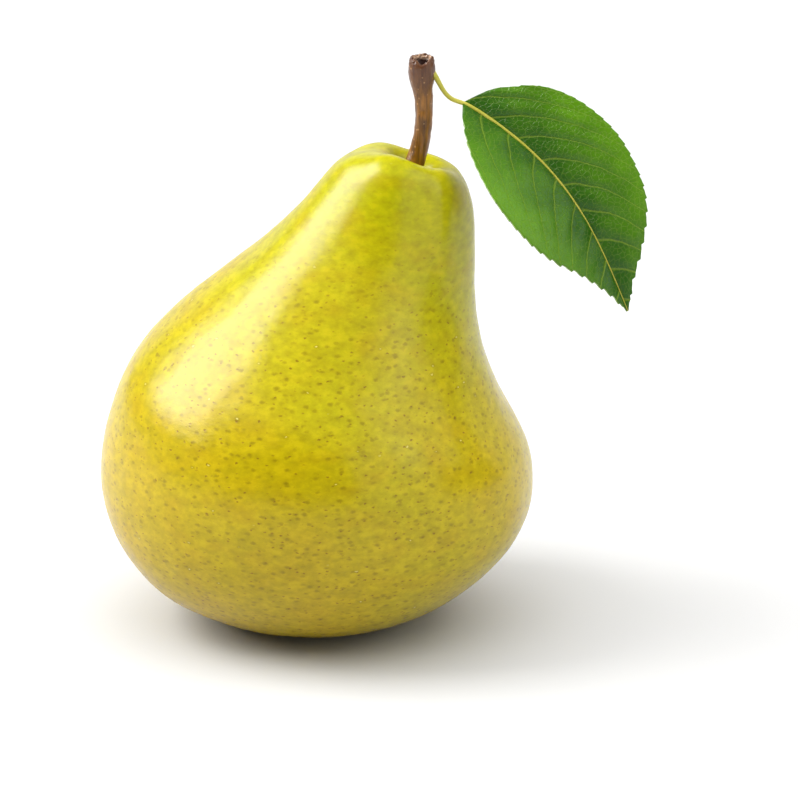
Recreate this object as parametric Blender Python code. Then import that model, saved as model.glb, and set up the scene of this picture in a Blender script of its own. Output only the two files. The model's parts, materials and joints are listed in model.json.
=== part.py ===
"""A whole pear standing on its base, with its stem and one leaf. Run it in Blender 4.5.

All sizes are in millimetres and are scaled to metres as the meshes are made.
The fruit's own frame has its base ring centred on the origin at height 0, leans towards +X
and is moved at the end so that the whole part stands centred on the origin.
"""

import math

import bmesh
import bpy
import numpy as np
from mathutils import Matrix, Vector

MM = 0.001
GAP = 0.3  # between pieces that touch in the real pear

# Fruit: radius at each height along its core line
BASE_RING_INNER = 9.0
BASE_RING_OUTER = 12.5
BELLY_RADIUS = 39.5
BELLY_HEIGHT = 28.0
NECK_RADIUS = 18.0
NECK_HEIGHT = 69.0
SHOULDER_RADIUS = 13.7
SHOULDER_HEIGHT = 81.5
CROWN_HEIGHT = 88.2  # the ridge round the stem hollow
BASIN_DEPTH = 6.5
HOLLOW_DEPTH = 4.4

# The core line starts upright and ends leaning towards +X
LEAN = math.radians(21.0)
LEAN_HEIGHT = 75.0

# Soft lobes, fewer at the top than at the base
BASE_LOBES = 5
BASE_LOBE_SIZE = 0.8
CROWN_LOBES = 3
CROWN_LOBE_SIZE = 0.7
CROWN_LEVEL = 1.6  # the crown is tipped back from the lean by this much at its rim
CROWN_FRONT = 1.1  # the lip in front of the stem stands this much higher

# Stem
STEM_RADIUS = 1.6
STEM_HEAD_RADIUS = 2.4
STEM_TOP = 104.6
STEM_HEAD_X = 19.7
STEM_BURIED = 3.2  # how far below the crown its foot is

# Leaf
BLADE_THICKNESS = 0.7
FAR_HALF_WIDTH = 13.1
NEAR_HALF_WIDTH = 14.1
BLADE_BASE = Vector((27.1, -1.5, 96.4))
BLADE_TIP = Vector((56.3, -11.0, 60.6))
MIDRIB_BOW = 4.6  # how far the midrib curves out from the straight line between base and tip
NEAR_HALF_FOLD = math.radians(35.0)
FAR_HALF_FOLD = math.radians(9.0)
LEAFSTALK_RADIUS = 0.6

# Dried flower in the basin
SEPALS = 5
SEPAL_HALF_WIDTH = 1.1
SEPAL_THICKNESS = 0.4
TUFT_RADIUS = 0.8

# Mesh fineness
RIM_STEPS = 60
SPAN_STEPS = 4
CORE_STEPS = 60


def clear_scene():
    for obj in list(bpy.data.objects):
        bpy.data.objects.remove(obj, do_unlink=True)


def material(name, colour, roughness):
    made = bpy.data.materials.new(name)
    made.use_nodes = True
    shader = made.node_tree.nodes["Principled BSDF"]
    shader.inputs["Base Color"].default_value = (*colour, 1.0)
    shader.inputs["Roughness"].default_value = roughness
    shader.inputs["Metallic"].default_value = 0.0
    return made


def add_object(name, mesh_data, surface):
    """An object from a bmesh whose coordinates are in millimetres."""
    bmesh.ops.recalc_face_normals(mesh_data, faces=mesh_data.faces)
    bmesh.ops.scale(mesh_data, vec=(MM, MM, MM), verts=mesh_data.verts)
    mesh = bpy.data.meshes.new(name)
    mesh_data.to_mesh(mesh)
    mesh_data.free()
    mesh.shade_smooth()
    mesh.materials.append(surface)
    made = bpy.data.objects.new(name, mesh)
    bpy.context.scene.collection.objects.link(made)
    return made


def ease(value):
    """0 below 0, 1 above 1 and a smooth rise between."""
    value = min(max(value, 0.0), 1.0)
    return value**3 * (value * (6.0 * value - 15.0) + 10.0)


def smooth_line(points, steps):
    """Points along a Catmull-Rom curve through the given ones."""
    points = [Vector(point) for point in points]
    ends = [2 * points[0] - points[1], *points, 2 * points[-1] - points[-2]]
    line = []
    for before, start, end, after in zip(ends, ends[1:], ends[2:], ends[3:]):
        for step in range(steps):
            part = step / steps
            out = (end - before) * 0.5
            back = (after - start) * 0.5
            bend = 3 * (end - start) - 2 * out - back
            rest = 2 * (start - end) + out + back
            line.append(start + out * part + bend * part**2 + rest * part**3)
    return [*line, points[-1]]


def core_line(height):
    """Where the fruit's core is at a height along it, and how far it leans there."""
    step = max(height, 0.0) / CORE_STEPS
    centre = Vector((0.0, 0.0, 0.0))
    for number in range(CORE_STEPS):
        lean = LEAN * ease((number + 0.5) * step / LEAN_HEIGHT)
        centre += Vector((math.sin(lean), 0.0, math.cos(lean))) * step
    return centre, LEAN * ease(height / LEAN_HEIGHT)


def on_core(point):
    """A point given as across, along and height, moved to where the leaning core puts it."""
    if point.z <= 0.0:
        return point.copy()
    centre, lean = core_line(point.z)
    turned = Matrix.Rotation(lean, 3, "Y") @ Vector((point.x, point.y, 0.0))
    return centre + turned


def fruit_profile():
    """The half outline as (radius, height), from the middle of the basin to the middle of the hollow."""
    basin = [(0.0, BASIN_DEPTH), (3.0, BASIN_DEPTH - 0.5), (6.4, 3.2), (8.3, 0.9), (BASE_RING_INNER, 0.0)]
    flank = [
        (BASE_RING_OUTER, 0.0),
        (17.5, 1.2),
        (26.0, 5.0),
        (31.5, 9.6),
        (37.0, 16.0),
        (BELLY_RADIUS, BELLY_HEIGHT),
        (37.4, 40.5),
        (31.9, 48.8),
        (25.9, 57.2),
        (NECK_RADIUS, NECK_HEIGHT),
        (15.3, 75.5),
        (SHOULDER_RADIUS, SHOULDER_HEIGHT),
        (12.1, 85.4),
        (9.4, 87.7),
        (6.0, CROWN_HEIGHT),
    ]
    floor = CROWN_HEIGHT - HOLLOW_DEPTH
    hollow = [(4.0, CROWN_HEIGHT - 0.9), (2.9, floor + 1.6), (1.8, floor + 0.3), (0.0, floor)]
    under = smooth_line([(r, 0.0, h) for r, h in basin], SPAN_STEPS)
    over = smooth_line([(r, 0.0, h) for r, h in flank + hollow], SPAN_STEPS)
    over[-1].x = 0.0
    return under, over


def lobed(point):
    """A point of the turned body with the soft lobes added."""
    radius = math.hypot(point.x, point.y)
    if radius < 1e-6 or point.z <= 0.0:
        return point.copy()
    angle = math.atan2(point.y, point.x)
    low = 1.0 - ease(point.z / BELLY_HEIGHT)
    high = ease((point.z - NECK_HEIGHT) / (SHOULDER_HEIGHT - NECK_HEIGHT))
    outer = ease(radius / BASE_RING_INNER)
    swell = BASE_LOBE_SIZE * low * outer * ease(point.z / 3.0) * math.cos(BASE_LOBES * angle + 0.6)
    swell += 0.5 * CROWN_LOBE_SIZE * high * outer * math.cos(CROWN_LOBES * angle)
    tip_back = CROWN_LEVEL * math.cos(angle) + CROWN_FRONT * max(-math.sin(angle), 0.0)
    lift = high * outer * (CROWN_LOBE_SIZE * math.cos(CROWN_LOBES * angle) + tip_back)
    share = (radius + swell) / radius
    return Vector((point.x * share, point.y * share, point.z + lift))


def build_fruit():
    under, over = fruit_profile()
    shape = bmesh.new()
    outline = [shape.verts.new(point) for point in under + over]
    edges = [shape.edges.new(pair) for pair in zip(outline, outline[1:])]
    bmesh.ops.spin(
        shape,
        geom=outline + edges,
        axis=(0.0, 0.0, 1.0),
        cent=(0.0, 0.0, 0.0),
        dvec=(0.0, 0.0, 0.0),
        angle=math.tau,
        steps=RIM_STEPS,
        use_merge=True,
    )
    bmesh.ops.remove_doubles(shape, verts=shape.verts, dist=0.01)
    for vertex in shape.verts:
        basin = math.hypot(vertex.co.x, vertex.co.y) < BASE_RING_INNER and vertex.co.z < BASIN_DEPTH + 1.0
        if not basin:
            vertex.co = on_core(lobed(vertex.co))
    skin = material("yellow_green_skin", (0.52, 0.55, 0.07), 0.35)
    return add_object("fruit", shape, skin)


def loft(stations, sides):
    """A closed tube: one ring of sides for each (centre, radius) station, with both ends filled."""
    shape = bmesh.new()
    centres = [Vector(centre) for centre, _ in stations]
    ring = None
    for number, (centre, radius) in enumerate(stations):
        before = centres[max(number - 1, 0)]
        after = centres[min(number + 1, len(centres) - 1)]
        turn = (after - before).to_track_quat("Z", "Y").to_matrix().to_4x4()
        place = Matrix.Translation(Vector(centre)) @ turn
        made = bmesh.ops.create_circle(shape, segments=sides, radius=radius, matrix=place)["verts"]
        if ring:
            edges = {edge for vertex in ring + made for edge in vertex.link_edges}
            bmesh.ops.bridge_loops(shape, edges=[edge for edge in edges if edge.is_boundary or edge.is_wire])
        ring = made
    bmesh.ops.holes_fill(shape, edges=[edge for edge in shape.edges if edge.is_boundary], sides=sides)
    return shape


def build_stem():
    foot, _ = core_line(CROWN_HEIGHT - STEM_BURIED)
    head = STEM_TOP
    path = [
        (foot.x, 0.0, foot.z, STEM_RADIUS * 1.15),
        (STEM_HEAD_X - 0.4, 0.0, 87.2, STEM_RADIUS * 1.10),
        (STEM_HEAD_X + 0.3, 0.0, 91.5, STEM_RADIUS),
        (STEM_HEAD_X + 0.5, 0.0, 95.5, STEM_RADIUS),
        (STEM_HEAD_X + 0.2, 0.0, 98.5, STEM_RADIUS * 1.12),
        (STEM_HEAD_X, 0.0, head - 3.8, STEM_HEAD_RADIUS * 0.98),
        (STEM_HEAD_X, 0.0, head - 2.0, STEM_HEAD_RADIUS),
        (STEM_HEAD_X, 0.0, head - 0.6, STEM_HEAD_RADIUS * 0.88),
        (STEM_HEAD_X, 0.0, head, STEM_HEAD_RADIUS * 0.66),
    ]
    centres = smooth_line([point[:3] for point in path], 3)
    radii = smooth_line([(point[3], 0.0, 0.0) for point in path], 3)
    stations = [(centre, radius.x) for centre, radius in zip(centres, radii)]
    shape = loft(stations, sides=24)
    shape.faces.ensure_lookup_table()
    crown = max(shape.faces, key=lambda face: face.calc_center_median().z)
    bmesh.ops.inset_individual(shape, faces=[crown], thickness=0.55, depth=-0.9, use_even_offset=True)
    bark = material("brown_stem_bark", (0.14, 0.07, 0.03), 0.45)
    return add_object("stem", shape, bark)


def blade_axes():
    """The blade's frame: along it, across it towards its upper right edge, and out of its upper face."""
    along = (BLADE_TIP - BLADE_BASE).normalized()
    outward = Vector((0.0, -1.0, 0.3))
    across = outward.cross(along).normalized()
    return along, across, along.cross(across).normalized()


def midrib(part):
    """A point on the midrib, from 0 at the base to 1 at the tip."""
    along, across, out = blade_axes()
    length = (BLADE_TIP - BLADE_BASE).length
    bow = MIDRIB_BOW * math.sin(math.pi * part**0.92)
    droop = -1.6 * math.sin(math.pi * part)
    return BLADE_BASE + along * length * part + across * bow - out * droop


def half_width(part, far):
    """The width of one half of the blade. The far half is the fuller one towards both ends."""
    if far:
        shape = [(0.0, 0.5), (0.02, 3.9), (0.05, 6.5), (0.12, 10.0), (0.22, 12.0), (0.45, FAR_HALF_WIDTH)]
        shape += [(0.58, 12.5), (0.7, 11.2), (0.8, 8.3), (0.9, 3.8), (1.0, 0.5)]
    else:
        shape = [(0.0, 0.5), (0.05, 3.8), (0.12, 7.4), (0.22, 10.9), (0.44, NEAR_HALF_WIDTH)]
        shape += [(0.58, 13.1), (0.7, 9.9), (0.8, 5.7), (0.9, 2.2), (1.0, 0.5)]
    parts, widths = zip(*[(point.x, point.y) for point in smooth_line([(*p, 0.0) for p in shape], 8)])
    return float(np.interp(part, parts, widths))


def build_leaf():
    along, across, out = blade_axes()
    rows, columns = 26, 5
    blade = bmesh.new()
    grid = []
    for row in range(rows + 1):
        part = row / rows
        line = []
        for column in range(-columns, columns + 1):
            share = column / columns
            far = share > 0
            fold = FAR_HALF_FOLD if far else NEAR_HALF_FOLD
            reach = abs(share) * half_width(part, far)
            side = math.copysign(1.0, share)
            point = midrib(part) + across * side * reach * math.cos(fold) + out * reach * math.sin(fold)
            line.append(blade.verts.new(point))
        grid.append(line)
    for low, high in zip(grid, grid[1:]):
        for left in range(2 * columns):
            blade.faces.new((low[left], low[left + 1], high[left + 1], high[left]))
    green = material("green_leaf", (0.05, 0.22, 0.02), 0.4)
    leaf = add_object("leaf", blade, green)
    thick = leaf.modifiers.new("blade_thickness", "SOLIDIFY")
    thick.thickness = BLADE_THICKNESS * MM
    thick.offset = 0.0

    head = Vector((STEM_HEAD_X + STEM_HEAD_RADIUS + GAP + LEAFSTALK_RADIUS * 0.7, 0.0, STEM_TOP - 3.2))
    stalk = [head, Vector((23.4, -0.5, 99.3)), Vector((25.1, -1.0, 97.3)), BLADE_BASE]
    stalk += [midrib(part) for part in (0.12, 0.25, 0.4, 0.55, 0.7)]
    centres = smooth_line(stalk, 4)
    last = len(centres) - 1
    stations = [(c, LEAFSTALK_RADIUS * (1.0 - 0.45 * (n / last) ** 2)) for n, c in enumerate(centres)]
    rib = add_object("leafstalk_guide", loft(stations, sides=10), green)
    rib.hide_render = True
    rib.display_type = "WIRE"
    join = leaf.modifiers.new("join_leafstalk", "BOOLEAN")
    join.operation = "UNION"
    join.object = rib
    return leaf


def build_sepals():
    """Five dried sepals that root round the middle of the basin and curl outwards and down."""
    brown = material("dried_brown_sepal", (0.06, 0.03, 0.015), 0.7)
    made = []
    for number in range(SEPALS):
        shape = bmesh.new()
        turn = math.tau * number / SEPALS
        root = BASIN_DEPTH - GAP - 0.9
        spine = [(1.7, root), (2.5, root - 1.4), (3.6, root - 2.6), (4.6, root - 3.2), (5.3, root - 3.0)]
        widths = [0.75, 1.0, 0.9, 0.55, 0.2]
        lines = smooth_line([(r, 0.0, h) for r, h in spine], 2)
        halves = smooth_line([(SEPAL_HALF_WIDTH * w, 0.0, 0.0) for w in widths], 2)
        rows = []
        for centre, half in zip(lines, halves):
            cup = 0.25 * half.x
            left = Vector((centre.x + cup, -half.x, centre.z))
            right = Vector((centre.x + cup, half.x, centre.z))
            rows.append([shape.verts.new(point) for point in (left, centre, right)])
        for low, high in zip(rows, rows[1:]):
            shape.faces.new((low[0], low[1], high[1], high[0]))
            shape.faces.new((low[1], low[2], high[2], high[1]))
        bmesh.ops.rotate(shape, verts=shape.verts, cent=(0, 0, 0), matrix=Matrix.Rotation(turn, 3, "Z"))
        sepal = add_object(f"sepal_{number + 1}", shape, brown)
        thick = sepal.modifiers.new("sepal_thickness", "SOLIDIFY")
        thick.thickness = SEPAL_THICKNESS * MM
        thick.offset = 0.0
        made.append(sepal)
    return made


def build_tuft():
    """The dried stamens, as one small tapered bunch between the sepals."""
    top = BASIN_DEPTH - GAP - 0.1
    stations = [((0.0, 0.0, top), TUFT_RADIUS * 0.8), ((0.1, 0.0, top - 1.6), TUFT_RADIUS)]
    stations += [((0.2, 0.1, top - 3.2), TUFT_RADIUS * 0.9), ((0.3, 0.1, top - 4.2), TUFT_RADIUS * 0.5)]
    tan = material("dried_tan_stamens", (0.35, 0.22, 0.1), 0.8)
    return add_object("stamen_tuft", loft(stations, sides=12), tan)


def centre_on_origin(pieces):
    """Parents every piece to one empty and moves it so that the box stands centred on the origin."""
    bpy.context.view_layer.update()
    graph = bpy.context.evaluated_depsgraph_get()
    corners = []
    for piece in pieces:
        shown = piece.evaluated_get(graph)
        corners += [vertex.co.copy() for vertex in shown.to_mesh().vertices]
        shown.to_mesh_clear()
    stand = bpy.data.objects.new("pear", None)
    bpy.context.scene.collection.objects.link(stand)
    for axis in range(2):
        values = [corner[axis] for corner in corners]
        stand.location[axis] = -(min(values) + max(values)) / 2
    for piece in bpy.data.objects:
        if piece.type == "MESH":
            piece.parent = stand


def main():
    clear_scene()
    pieces = [build_fruit(), build_stem(), build_leaf(), *build_sepals(), build_tuft()]
    centre_on_origin(pieces)


main()
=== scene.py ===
# %% [markdown]
# # A ripe pear with its stem and a leaf
# This lesson dresses a plain solid model of a pear. The solids are loaded as a fixed frame, and
# every visible piece is modelled around them at the same place and size: the fruit, the woody
# stem, the leaf on its stalk, and the dried flower in the basin underneath.
# All lengths are written in millimetres and multiplied by `MM`, because Blender works in metres.

# %% Load the fixed frame
import json
import math

import bpy
from mathutils import Matrix, Vector


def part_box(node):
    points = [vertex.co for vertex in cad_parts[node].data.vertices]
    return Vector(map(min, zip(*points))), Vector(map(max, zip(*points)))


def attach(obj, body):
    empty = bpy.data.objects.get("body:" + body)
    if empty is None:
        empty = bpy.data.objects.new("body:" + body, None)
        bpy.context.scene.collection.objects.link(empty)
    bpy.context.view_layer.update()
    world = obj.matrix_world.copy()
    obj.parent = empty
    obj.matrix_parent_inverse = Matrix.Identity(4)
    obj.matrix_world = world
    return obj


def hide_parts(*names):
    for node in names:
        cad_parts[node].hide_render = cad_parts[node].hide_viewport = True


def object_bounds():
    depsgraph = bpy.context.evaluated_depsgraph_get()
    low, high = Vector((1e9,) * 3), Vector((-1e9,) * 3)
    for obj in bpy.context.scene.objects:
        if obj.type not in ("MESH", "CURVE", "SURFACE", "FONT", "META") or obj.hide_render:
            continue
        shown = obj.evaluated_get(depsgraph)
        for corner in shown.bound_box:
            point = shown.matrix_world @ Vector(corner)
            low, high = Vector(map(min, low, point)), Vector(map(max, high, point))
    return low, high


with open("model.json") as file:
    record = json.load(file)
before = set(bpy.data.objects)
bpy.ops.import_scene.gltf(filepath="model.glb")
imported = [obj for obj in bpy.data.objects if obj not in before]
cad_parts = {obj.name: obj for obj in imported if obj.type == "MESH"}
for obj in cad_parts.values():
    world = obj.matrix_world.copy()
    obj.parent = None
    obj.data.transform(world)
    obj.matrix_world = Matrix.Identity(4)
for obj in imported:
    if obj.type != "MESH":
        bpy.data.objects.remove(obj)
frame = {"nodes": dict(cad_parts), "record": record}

MM = 0.001
cad_low, cad_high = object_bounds()
print("frame nodes:", sorted(frame["nodes"]))

# %% [markdown]
# ## Places and sizes that everything else is worked out from
# The fruit stands on a flat spot. Its place is stated in the record as the resting mount, so the
# middle of the base is known. The other sizes come from the boxes of the frame's nodes.

# %% Measure the frame
fruit_low, fruit_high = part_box("fruit")
stem_low, stem_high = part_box("stem")
leaf_low, leaf_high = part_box("leaf")
base_x = frame["record"]["mounts"][0]["pos_m"][0]
belly_radius = (fruit_high.y - fruit_low.y) / 2
CORE_STRETCH = 1.0065  # the core leans, so it is a little longer than the fruit is tall
core_length = (fruit_high.z - fruit_low.z) * CORE_STRETCH
print(f"belly radius {belly_radius / MM:.1f} mm, core {core_length / MM:.1f} mm, base at x {base_x / MM:.1f} mm")

# %% [markdown]
# ## Helpers for modelling by hand in code
# An operator acts on whatever is selected. The loaded frame is selected after the import, so
# each new piece starts by deselecting everything. Points are then picked by where they are.
# Small dents and swells come from a Displace modifier with a cloudy texture of a real grain size.

# %% Helpers for selecting and finishing
def deselect_all():
    if bpy.context.object and bpy.context.object.mode != "OBJECT":
        bpy.ops.object.mode_set(mode="OBJECT")
    bpy.ops.object.select_all(action="DESELECT")


def edit_points(piece, wanted):
    """Opens the piece in edit mode with just the points that wanted(place) accepts selected."""
    if piece.mode != "OBJECT":
        bpy.ops.object.mode_set(mode="OBJECT")
    bpy.context.view_layer.objects.active = piece
    mesh = piece.data
    for group in (mesh.polygons, mesh.edges):
        group.foreach_set("select", [False] * len(group))
    mesh.vertices.foreach_set("select", [bool(wanted(vertex.co)) for vertex in mesh.vertices])
    bpy.ops.object.mode_set(mode="EDIT")
    bpy.ops.mesh.select_mode(type="VERT")


def make_uneven(piece, name, grain_mm, height_mm, group=""):
    """Adds cloudy dents and swells to a piece, or only to one group of its points."""
    clouds = bpy.data.textures.new(name, "CLOUDS")
    clouds.noise_scale = grain_mm * MM
    uneven = piece.modifiers.new(name, "DISPLACE")
    uneven.texture = clouds
    uneven.texture_coords = "LOCAL"
    uneven.strength = height_mm * MM
    uneven.vertex_group = group


def finish_modifiers(piece):
    """Applies the piece's modifiers in order and shades it smooth."""
    bpy.ops.object.mode_set(mode="OBJECT")
    deselect_all()
    piece.select_set(True)
    bpy.context.view_layer.objects.active = piece
    for modifier in list(piece.modifiers):
        bpy.ops.object.modifier_apply(modifier=modifier.name)
    bpy.ops.object.shade_smooth()


# %% [markdown]
# ## The fruit's shape
# A pear is a turned shape that has been pushed about: it leans, its neck is off to one side, and
# soft lobes run up from the base and round the stem. It could be a sphere sculpted into shape, or
# a profile spun round an axis. Here it is drawn ring by ring, because a leaning core is then easy:
# each ring is extruded a step up the core, turned a little with it and resized.

# %% The ring sizes, from the middle of the basin to the bottom of the stem hollow
LEAN = math.radians(21)  # how far the neck leans from upright
LEAN_SHARE = 0.85  # the share of the core over which the lean builds up
# Share of the core's length, then the ring's radius as a share of the belly's
BASIN = [(0.074, 0.010), (0.073, 0.045), (0.068, 0.09), (0.055, 0.13), (0.034, 0.168), (0.013, 0.205)]
BASE = [(0.001, 0.238), (0.0, 0.272), (0.001, 0.308), (0.008, 0.39), (0.026, 0.53), (0.057, 0.67)]
BELLY = [(0.108, 0.805), (0.18, 0.935), (0.255, 0.99), (0.325, 1.0), (0.395, 0.985), (0.465, 0.943)]
FLANK = [(0.53, 0.855), (0.59, 0.748), (0.65, 0.652), (0.715, 0.556), (0.78, 0.466)]
NECK = [(0.845, 0.398), (0.90, 0.362), (0.945, 0.336), (0.972, 0.303), (0.990, 0.253)]
CROWN = [(0.999, 0.200), (1.0, 0.158), (0.992, 0.122), (0.978, 0.098), (0.962, 0.08), (0.952, 0.055)]
CROWN += [(0.95, 0.02)]
RINGS = BASIN + BASE + BELLY + FLANK + NECK + CROWN
print(len(RINGS), "rings")


# %% The leaning core
def ease(value):
    value = min(max(value, 0.0), 1.0)
    return value**3 * (value * (6 * value - 15) + 10)


def lean_at(share):
    return LEAN * ease(share / LEAN_SHARE)


def core_point(share):
    """Where the core is at a share of its length, walking up it in small steps."""
    steps = 100
    place = Vector((base_x, 0, 0))
    for number in range(steps):
        lean = lean_at((number + 0.5) / steps * share)
        place += Vector((math.sin(lean), 0, math.cos(lean))) * core_length * share / steps
    return place


print("top of the core:", [round(value / MM, 1) for value in core_point(1)], "mm")

# %% A helper that extrudes a circle ring by ring
def extrude_rings(piece, name, rings):
    """Closes a new circle, extrudes it through (place, radius, tilt) rings and closes the last one."""
    piece.name = name
    bpy.ops.object.mode_set(mode="EDIT")
    bpy.ops.mesh.select_all(action="SELECT")
    bpy.ops.mesh.edge_face_add()
    bpy.ops.mesh.select_mode(type="EDGE")
    for (here, radius, tilt), (there, next_radius, next_tilt) in zip(rings, rings[1:]):
        bpy.ops.mesh.extrude_edges_move(TRANSFORM_OT_translate={"value": there - here})
        bpy.ops.transform.resize(value=[next_radius / radius] * 3, center_override=there)
        if abs(next_tilt - tilt) > 1e-6:
            bpy.ops.transform.rotate(value=tilt - next_tilt, orient_axis="Y", center_override=there)
    bpy.ops.mesh.edge_face_add()
    bpy.ops.mesh.select_all(action="SELECT")
    bpy.ops.mesh.normals_make_consistent(inside=False)
    bpy.ops.object.mode_set(mode="OBJECT")
    print(name, "cage:", len(piece.data.vertices), "points")


# %% Draw the fruit ring by ring
rings = [(core_point(share), radius, lean_at(share)) for share, radius in RINGS]
deselect_all()
bpy.ops.mesh.primitive_circle_add(vertices=40, radius=rings[0][1] * belly_radius, location=rings[0][0])
fruit = bpy.context.object
bpy.ops.object.transform_apply(location=True)
extrude_rings(fruit, "pear_fruit", rings)

# %% [markdown]
# ### Lobes
# No pear is evenly round. The crown has soft lobes, the neck has a shallow flute down its front,
# the belly has swells of its own, and the rim it stands on is broken by shallow grooves. They could
# be sculpted with a brush; here each is one pull with proportional editing, which gives the same
# result every time: the nearest point moves, and its surroundings follow within reach.

# %% Pull the lobes
def pull(piece, place, move, reach):
    """Moves the point nearest to place, and its surroundings with it within reach."""
    nearest = min((vertex.co for vertex in piece.data.vertices), key=lambda co: (co - place).length).copy()
    edit_points(piece, lambda co: (co - nearest).length < 1e-7)
    bpy.ops.transform.translate(
        value=move, use_proportional_edit=True, proportional_edit_falloff="SMOOTH", proportional_size=reach
    )
    bpy.ops.object.mode_set(mode="OBJECT")


def on_fruit(share, angle, radius):
    """A place round the core, at an angle from +X and a radius."""
    turned = Matrix.Rotation(lean_at(share), 3, "Y") @ Vector((math.cos(angle), math.sin(angle), 0))
    return core_point(share) + turned * radius


# Angle, millimetres outwards, millimetres up, reach in millimetres
CROWN_PULLS = [(10, -0.4, 1.7, 8), (125, 0.4, 0.3, 8), (-112, 0.1, 2.2, 8), (-45, 0.0, 2.6, 8)]
CROWN_PULLS += [(50, 0.1, 1.3, 8), (175, -0.8, -0.6, 8), (-82, 0.0, 1.0, 5.5)]
for degrees, out, up, reach in CROWN_PULLS:
    angle = math.radians(degrees)
    spot = on_fruit(0.985, angle, 0.26 * belly_radius)
    away = on_fruit(0.985, angle, 0.27 * belly_radius) - spot
    pull(fruit, spot, away.normalized() * out * MM + Vector((0, 0, up * MM)), reach * MM)
print(len(CROWN_PULLS), "lobes and dips on the crown")

# %% Groove the rim that the pear stands on
RIM_RADIUS = 11 * MM
GROOVE_ANGLES = (18, 95, 160, 232, 305)
for degrees in GROOVE_ANGLES:
    angle = math.radians(degrees)
    spot = Vector((base_x + RIM_RADIUS * math.cos(angle), RIM_RADIUS * math.sin(angle), 0))
    pull(fruit, spot, Vector((0, 0, 1.3 * MM)), 6.5 * MM)
print(len(GROOVE_ANGLES), "grooves")

# %% Pull the sides
# Angle, share of the core, rough radius, then millimetres outwards and reach: swells and dents of
# the belly, the two flanks of the neck, and a flute down its front
SIDE_PULLS = [(205, 0.2, 1.0, 0.5, 22), (140, 0.35, 1.0, -0.6, 22), (265, 0.3, 1.0, 0.5, 22)]
SIDE_PULLS += [(330, 0.22, 1.0, 0.6, 22), (185, 0.33, 1.0, 0.7, 15), (212, 0.1, 0.8, 0.6, 12)]
SIDE_PULLS += [(0, 0.875, 0.4, 1.35, 14), (180, 0.73, 0.55, -1.1, 11), (180, 0.52, 0.9, -0.6, 11)]
SIDE_PULLS += [(-82, 0.93, 0.35, -0.8, 7), (-50, 0.92, 0.35, 0.3, 7)]
for degrees, share, radius, out, reach in SIDE_PULLS:
    angle = math.radians(degrees)
    spot = on_fruit(share, angle, radius * belly_radius)
    pull(fruit, spot, Vector((math.cos(angle), math.sin(angle), 0)) * out * MM, reach * MM)
print(len(SIDE_PULLS), "swells and dents on the sides")

# %% [markdown]
# ### Smooth it and make it uneven
# Subdivision rounds the cage. A very shallow, cloudy Displace then gives the slight dents and
# swells that break up the reflections on real fruit.

# %% Round the fruit and make it uneven
smooth = fruit.modifiers.new("round", "SUBSURF")
smooth.levels = smooth.render_levels = 3
make_uneven(fruit, "swells", 16, 0.5)
make_uneven(fruit, "dents", 5, 0.1)
finish_modifiers(fruit)
lowest = min(vertex.co.z for vertex in fruit.data.vertices)
print("fruit:", len(fruit.data.polygons), "faces, lowest point", round(lowest / MM, 2), "mm")

# %% [markdown]
# ## Colours and nodes
# Colours are written as sRGB hex, as a colour picker shows them, and one function turns them to
# the linear values that Blender computes with. One more function adds a node with its settings.

# %% Colour and node helpers
def colour(hex_code):
    """Linear RGBA from an sRGB hex code."""
    channels = [int(hex_code[start:start + 2], 16) / 255 for start in (0, 2, 4)]
    linear = [c / 12.92 if c <= 0.04045 else ((c + 0.055) / 1.055) ** 2.4 for c in channels]
    return (*linear, 1.0)


def add_node(tree, kind, settings, inputs):
    """Adds a node, sets its properties, and gives each input a value or another node's output."""
    made = tree.nodes.new(kind)
    for name, value in settings.items():
        setattr(made, name, value)
    for name, value in inputs.items():
        if isinstance(value, bpy.types.NodeSocket):
            tree.links.new(value, made.inputs[name])
        else:
            made.inputs[name].default_value = value
    return made


def new_material(name):
    """A node material and its shader."""
    made = bpy.data.materials.new(name)
    made.use_nodes = True
    return made, made.node_tree, made.node_tree.nodes["Principled BSDF"]


def per_metre(size_mm):
    """A texture's scale for a pattern of this real size."""
    return 1000 / size_mm


# Positions of the sockets of a Mix node that mixes colours
MIX, FIRST, SECOND, MIXED = 0, 6, 7, 2

# %% [markdown]
# ## The skin of a ripe pear
# Pear skin is thin, waxy and a little see-through, over pale wet flesh. That gives the eye a soft
# satin highlight and shadows that stay warm. Its yellow-green changes slowly over the fruit and in
# short level streaks. Thousands of pores, the lenticels, dot it: soft
# olive spots about 1 mm across, sharper brown specks of 0.3 to 0.5 mm, and a few pale pores in a
# dark ring. They crowd together low on the belly and are few on the neck. In the basin and round
# the stem the skin turns russet, a fine brown cork.

# %% The skin's ground colour
skin, tree, shader = new_material("ripe_pear_skin_waxy")
place = add_node(tree, "ShaderNodeTexCoord", {}, {}).outputs["Object"]
parts = add_node(tree, "ShaderNodeSeparateXYZ", {}, {0: place})
level = add_node(tree, "ShaderNodeMapping", {}, {"Vector": place, "Scale": (1.0, 1.0, 1.6)}).outputs[0]

broad = add_node(tree, "ShaderNodeTexNoise", {}, {"Vector": place, "Scale": per_metre(24), "Detail": 2.0})
height = add_node(
    tree, "ShaderNodeMapRange", {"interpolation_type": "SMOOTHSTEP"},
    {"Value": parts.outputs["Z"], "From Min": 0.15 * core_length, "From Max": 0.95 * core_length},
).outputs[0]
across = add_node(
    tree, "ShaderNodeMapRange", {"interpolation_type": "SMOOTHSTEP"},
    {"Value": parts.outputs["X"], "From Min": base_x - belly_radius, "From Max": base_x + 0.5 * belly_radius},
).outputs[0]
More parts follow.
